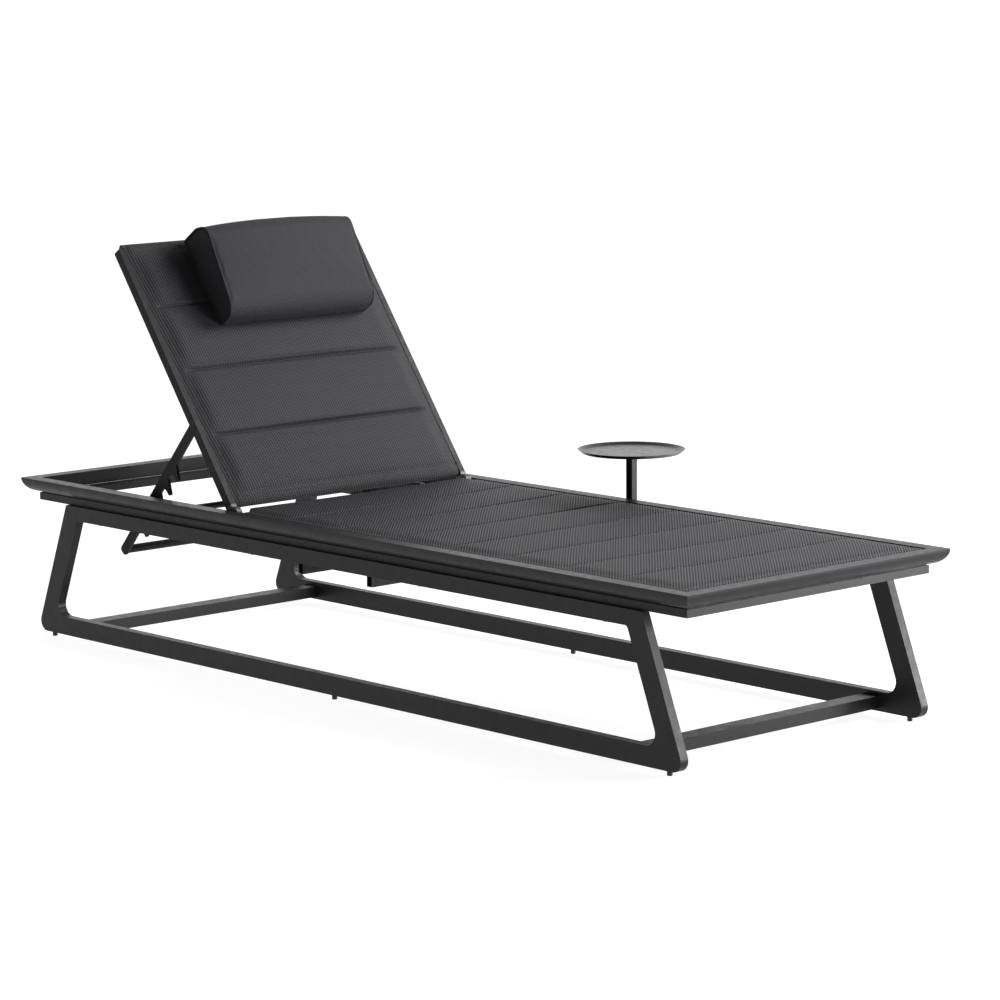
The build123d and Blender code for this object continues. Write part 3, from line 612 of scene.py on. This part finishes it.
def back_sling():
    """Backrest sling: padded in channels, wrapped round the bottom and top bars in rolled hems."""
    rows = finer_rows(BACK_START, BACK_END, BACK_SEAMS, coarse=0.0055, fine=0.0013)
    columns = sling_columns(BACK_HALF, BACK_BORDER)
    x, y = np.meshgrid(columns, rows)
    hems = [BACK_START + hem for hem in LOW_HEMS] + [BACK_END - HIGH_HEM]
    pad = quilted_surface(x, y, BACK_HALF, BACK_BORDER, BACK_SEAMS, hems[1], hems[2],
                          crown=0.0050, valley=0.0040, lip_height=0.0024, seed=11)
    hem = ridge(y, hems[1], 0.0020) + HEM_SIDE_DEPTH * ridge(y, hems[0], HEM_SIDE_WIDTH)
    hem = hem + ridge(y, hems[2], 0.0020)
    border = fade(BACK_HALF - np.abs(x), BACK_SLOPE)
    border = border * border * (3 - 2 * border)
    face = BACK_FACE + border * (BACK_LIFT + pad) - 0.0010 * hem
    rear = BACK_REAR - border * BACK_REAR_DROP
    roll = rolled(y - BACK_START, BACK_ROLL) * rolled(BACK_END - y, BACK_ROLL)
    front = BAR_MID + (face - BAR_MID) * roll
    wrap = np.maximum(fade(hems[1] - y, WRAP_SLOPE), fade(y - BACK_END + HIGH_WRAP, WRAP_SLOPE))
    rear = rear * (1 - wrap) + (BAR_MID - HEM_HALF * roll) * wrap
    rear = np.minimum(rear, front - 0.0006)
    obj = closed_pad("back_sling_cloth", np.stack((x, y, front), -1), np.stack((x, y, rear), -1),
                     back_cloth_weave)
    sewing = join("back_sling_stitching", sew([*BACK_SEAMS, *hems], rows, columns, front, EDGE_COLUMNS))
    obj.matrix_world = BACK
    sewing.matrix_world = BACK
    return obj, sewing


# ---------------------------------------------------------------- headrest
OUTLINE_SPACING = 0.004
CORNER_STEPS = 8
COVER_HALF = PILLOW_HALF - 0.001
FRONT_SWELL = 0.0050             # how far the middle of the cover stands out in front,
TOP_SWELL = 0.0060               # at the top,
EVEN_SWELL = 0.0010              # and everywhere but on the back
WAIST = 0.0003                   # the cover is this much smaller at its end seams
PANEL_RINGS = 6                  # rings of faces on each side panel
PANEL_DOME = 0.0030              # how far each side panel stands out in its middle
PANEL_INSET = 0.0015             # its rim is this far inside the cover's end
SEAM_DIP = 0.0008                # and it dips this much more beside the seam
CLOTH_FRAMES = 20
CLOTH_PRESSURE = 1.5
CLOTH_CAP = 0.0015               # no point of the cover moves further than this in the simulation
PIPING_RADII = ((-1, 0.0016), (1, 0.0009))       # (side, radius)
STRAP_SPACING = 0.006
STRAP_COLUMNS = 15


def pillow_outline():
    """Outline of the pillow from the side, its corners rounded, with a point about every spacing."""
    rough = []
    for i, (corner, radius) in enumerate(zip(PILLOW_SIDE, PILLOW_RADII)):
        corner = Vector(corner)
        before = (Vector(PILLOW_SIDE[i - 1]) - corner).normalized()
        after = (Vector(PILLOW_SIDE[(i + 1) % len(PILLOW_SIDE)]) - corner).normalized()
        reach = radius / np.tan(before.angle(after) / 2)
        start = corner + before * reach
        end = corner + after * reach
        for k in range(CORNER_STEPS + 1):
            t = k / CORNER_STEPS
            rough.append((1 - t) ** 2 * start + 2 * t * (1 - t) * corner + t ** 2 * end)
    points = []
    for i, point in enumerate(rough):
        after = rough[(i + 1) % len(rough)]
        steps = max(1, round((after - point).length / OUTLINE_SPACING))
        points += [point.lerp(after, k / steps) for k in range(steps)]
    return points


def inflate(obj, pressure, cap):
    """Cloth simulation under inner pressure, no gravity; no point moves further than cap."""
    start = read_points(obj.data)
    scene = bpy.context.scene
    scene.frame_start = 1
    scene.frame_end = CLOTH_FRAMES
    modifier = obj.modifiers.new("cloth", "CLOTH")
    settings = modifier.settings
    settings.quality = 6
    settings.mass = 0.25
    settings.tension_stiffness = 25
    settings.compression_stiffness = 20
    settings.bending_stiffness = 1.2
    settings.use_pressure = True
    settings.uniform_pressure_force = pressure
    settings.effector_weights.gravity = 0.0
    modifier.point_cache.frame_start = 1
    modifier.point_cache.frame_end = CLOTH_FRAMES
    for number in range(1, CLOTH_FRAMES + 1):
        scene.frame_set(number)
    graph = bpy.context.evaluated_depsgraph_get()
    shift = read_points(obj.evaluated_get(graph).to_mesh()) - start
    obj.modifiers.clear()
    length = np.linalg.norm(shift, axis=1, keepdims=True)
    shift *= np.minimum(1.0, cap / np.maximum(length, 1e-9))
    write_points(obj.data, start + shift)
    scene.frame_set(1)


def pillow_section(t, outline, centre):
    """Outline of the cover at t from -1 to 1 across it: crowned in the middle, smaller at the ends."""
    crown = 1 - abs(t) ** 2.4
    waist = np.exp(-((1 - abs(t)) / 0.035) ** 2)
    points = []
    for point in outline:
        away = (point - centre).normalized()
        front = max(0.0, away[1])
        above = max(0.0, away[0])
        swell = crown * (FRONT_SWELL * front + TOP_SWELL * above + EVEN_SWELL) - WAIST * waist
        if point[1] < PILLOW_BACK + 0.002:
            swell = 0.0
        points.append(point + away * swell)
    return points


def pillow_cover():
    """Headrest pillow: foam in a sewn cover, crowned front and top, with slightly domed side panels."""
    outline = pillow_outline()
    centre = sum(outline, Vector((0, 0))) / len(outline)
    middle = np.linspace(-1, 1, 82)[1:-1]
    near = np.linspace(0, 0.06, 10)
    stations = np.unique(np.concatenate((-1 + near, middle, 1 - near)))
    count = len(outline)
    vertices = []
    for t in stations:
        vertices += [(t * COVER_HALF, *point) for point in pillow_section(t, outline, centre)]
    faces = loop_faces(len(stations), count, True)
    for side, t in ((0, -1), (len(stations) - 1, 1)):
        rim = [side * count + k for k in range(count)]
        section = pillow_section(t, outline, centre)
        for ring in range(1, PANEL_RINGS + 1):
            shrink = 1 - ring / (PANEL_RINGS + 0.5)
            bulge = PANEL_DOME * (1 - shrink ** 2) - (SEAM_DIP if ring == 1 else 0.0)
            base = len(vertices)
            vertices += [(t * (COVER_HALF + bulge - PANEL_INSET), *(centre + (point - centre) * shrink))
                         for point in section]
            inner = [base + k for k in range(count)]
            for k in range(count):
                after = (k + 1) % count
                quad = (rim[k], rim[after], inner[after], inner[k])
                faces.append(quad if t > 0 else tuple(reversed(quad)))
            rim = inner
        faces.append(tuple(rim) if t > 0 else tuple(reversed(rim)))
    return new_mesh("pillow_cover", vertices, faces, pillow_cloth)


def soften(obj):
    """Cloth simulation under a little inner pressure, then a ripple beside the end seams."""
    inflate(obj, CLOTH_PRESSURE, CLOTH_CAP)
    co = read_points(obj.data)
    inward = fade(PILLOW_HALF - np.abs(co[:, 0]), 0.05)
    pucker = ridge(inward, 0.25, 0.25)
    wave = value_noise(co[:, 1] * 6, co[:, 0] * 2, 21)
    co[:, 2] += np.where(co[:, 2] > 0.03, 0.0006 * pucker * wave, 0.0)
    co[:, 2] = np.maximum(co[:, 2], PILLOW_BACK)
    write_points(obj.data, co)


def piping():
    """Beads sewn round the rim of both side panels."""
    outline = pillow_outline()
    parts = []
    for sign, radius in PIPING_RADII:
        x = sign * (PILLOW_HALF - 0.0004)
        parts.append(closed_bead("bead", [Vector((x, *point)) for point in outline], radius, piping_cloth))
    return join("pillow_piping", parts)


def strap_piece():
    """Webbing from under the pillow up over the top bar and down into the weight's pouch."""
    corners = [Vector(place) for place in STRAP_PATH]
    curve = []
    for a, b in zip(corners, corners[1:]):
        steps = max(1, int((b - a).length / STRAP_SPACING))
        curve += [a.lerp(b, k / steps) for k in range(steps)]
    curve.append(corners[-1])
    grids = ([], [])
    for i, p in enumerate(curve):
        tangent = (curve[min(i + 1, len(curve) - 1)] - curve[max(i - 1, 0)]).normalized()
        normal = Vector((-tangent[1], tangent[0]))
        for k in range(STRAP_COLUMNS):
            s = k / (STRAP_COLUMNS - 1) * 2 - 1
            half = STRAP_THICK * (1 - 0.5 * abs(s) ** 6) / 2
            for grid, reach in zip(grids, (half, -half)):
                grid.append((PILLOW_X + s * STRAP_HALF, p[0] + normal[0] * reach, p[1] + normal[1] * reach))
    upper, lower = (np.array(grid).reshape(len(curve), STRAP_COLUMNS, 3) for grid in grids)
    obj = closed_pad("pillow_strap_web", upper, lower, strap_web)
    obj.matrix_world = BACK
    return obj


def weight_pad():
    """Counterweight: a slim sewn pouch, thin at its rim, its long sides drawn in at the middle."""
    u, v = np.meshgrid(np.linspace(0, 1, 61), np.linspace(0, 1, 33))
    swell = np.sqrt((1 - np.abs(2 * u - 1) ** 5) * (1 - np.abs(2 * v - 1) ** 5))
    pull = POUCH_PULL * (1 - (2 * u - 1) ** 2) * (1 - 2 * v) * np.abs(2 * v - 1)
    x = POUCH_LOW[0] + (POUCH_HIGH[0] - POUCH_LOW[0]) * u
    y = POUCH_LOW[1] + (POUCH_HIGH[1] - POUCH_LOW[1]) * v + pull
    middle = (POUCH_LOW[2] + POUCH_HIGH[2]) / 2
    half = (POUCH_HIGH[2] - POUCH_LOW[2]) / 2 * (POUCH_RIM + (1 - POUCH_RIM) * swell)
    obj = closed_pad("pillow_weight_pouch", np.stack((x, y, middle + half), -1),
                     np.stack((x, y, middle - half), -1), pillow_cloth)
    obj.matrix_world = BACK
    return obj


# ---------------------------------------------------------------- studio
BRIGHT_SIDE = (0.68, 0.73, 0.0)  # direction in which the room is bright
ROOM_DIM = 0.12
ROOM_BRIGHT = 1.3
ROOM_COLOUR = (0.98, 0.98, 1.0, 1.0)
KEY_PLACE = (3.3, -1.1, 2.95)
KEY_TARGET = (DECK_X, 0.45, 0.6)
KEY_SIZE = 1.9
KEY_POWER = 215.0
FOOT_PLACE = (2.35, -3.1, 0.62)
FOOT_TARGET = (0.1, -0.95, 0.25)
FOOT_SIZE = 1.0
FOOT_POWER = 135.0
FLOOR_HALF = 300.0
FLOOR_GLOW = 0.90

CAMERA_PLACE = (-5.2191, -5.6685, 1.5740)
CAMERA_FORWARD = (0.6735, 0.7228, -0.1550)
CAMERA_ROLL = -0.0054036
CAMERA_LENS = 134.43


def floor_material():
    """Matt white floor that glows a little, with faint unevenness."""
    s = Shader("studio_floor")
    s.put(Specular_IOR_Level=0.1)
    s.colour(s.ramp(s.noise(2.0, 2.0), ((0.0, (0.29, 0.29, 0.29)), (1.0, (0.31, 0.31, 0.31)))))
    s.put(Emission_Color=(1.0, 1.0, 1.0, 1.0), Emission_Strength=FLOOR_GLOW)
    s.roughness(s.span(s.noise(6.0, 2.0), 0.0, 1.0, 0.85, 0.95))
    return s.material


def area_light(name, place, target, size, power):
    """Soft square light aimed at a target."""
    data = bpy.data.lights.new(name, "AREA")
    data.size = size
    data.energy = power
    obj = add_object(name, data)
    obj.location = place
    aim = Vector(target) - Vector(place)
    obj.rotation_euler = aim.to_track_quat("-Z", "Y").to_euler()


def studio():
    """White floor, a strong key from the table side, a low foot light, and a room bright only on one side."""
    size = FLOOR_HALF
    floor = new_mesh("studio_floor", [(-size, -size, 0), (size, -size, 0), (size, size, 0), (-size, size, 0)],
                     [(0, 1, 2, 3)], floor_material())
    world = bpy.data.worlds.new("studio_world")
    world.use_nodes = True
    tree = world.node_tree
    coord = tree.nodes.new("ShaderNodeTexCoord")
    toward = tree.nodes.new("ShaderNodeVectorMath")
    toward.operation = "DOT_PRODUCT"
    tree.links.new(coord.outputs["Generated"], toward.inputs[0])
    toward.inputs[1].default_value = BRIGHT_SIDE
    strength = map_range(tree, toward.outputs["Value"], -0.1, 0.95, ROOM_DIM, ROOM_BRIGHT)
    background = tree.nodes["Background"]
    tree.links.new(strength, background.inputs["Strength"])
    background.inputs["Color"].default_value = ROOM_COLOUR
    bpy.context.scene.world = world
    area_light("key", KEY_PLACE, KEY_TARGET, KEY_SIZE, KEY_POWER)
    area_light("foot", FOOT_PLACE, FOOT_TARGET, FOOT_SIZE, FOOT_POWER)


def camera():
    """Long-lens camera at the near foot corner."""
    forward = Vector(CAMERA_FORWARD).normalized()
    right = forward.cross(Vector((0, 0, 1))).normalized()
    up = right.cross(forward)
    turned = right * cos(CAMERA_ROLL) + up * sin(CAMERA_ROLL)
    upward = up * cos(CAMERA_ROLL) - right * sin(CAMERA_ROLL)
    data = bpy.data.cameras.new("camera")
    data.lens = CAMERA_LENS
    data.sensor_width = 36.0
    data.clip_end = 200.0
    obj = add_object("camera", data)
    matrix = Matrix((turned, upward, -forward)).transposed().to_4x4()
    matrix.translation = CAMERA_PLACE
    obj.matrix_world = matrix
    bpy.context.scene.camera = obj


# ---------------------------------------------------------------- make it
dress_nodes()

seat_cloth, seat_sewing = seat_sling()
for piece in (seat_cloth, seat_sewing):
    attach(piece, "frame")
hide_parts("seat_sling")

back_cloth, back_sewing = back_sling()
for piece in (back_cloth, back_sewing):
    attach(piece, "backrest")
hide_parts("back_sling")

cover = pillow_cover()
soften(cover)
beads = piping()
for piece in (cover, beads):
    piece.matrix_world = BACK @ Matrix.Translation((PILLOW_X, 0, 0))
    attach(piece, "headrest")
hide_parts("pillow")

web = strap_piece()
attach(web, "backrest")
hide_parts("pillow_strap")

pouch = weight_pad()
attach(pouch, "headrest_weight")
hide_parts("pillow_weight")

studio()
camera()
bpy.context.scene.view_settings.view_transform = "Standard"
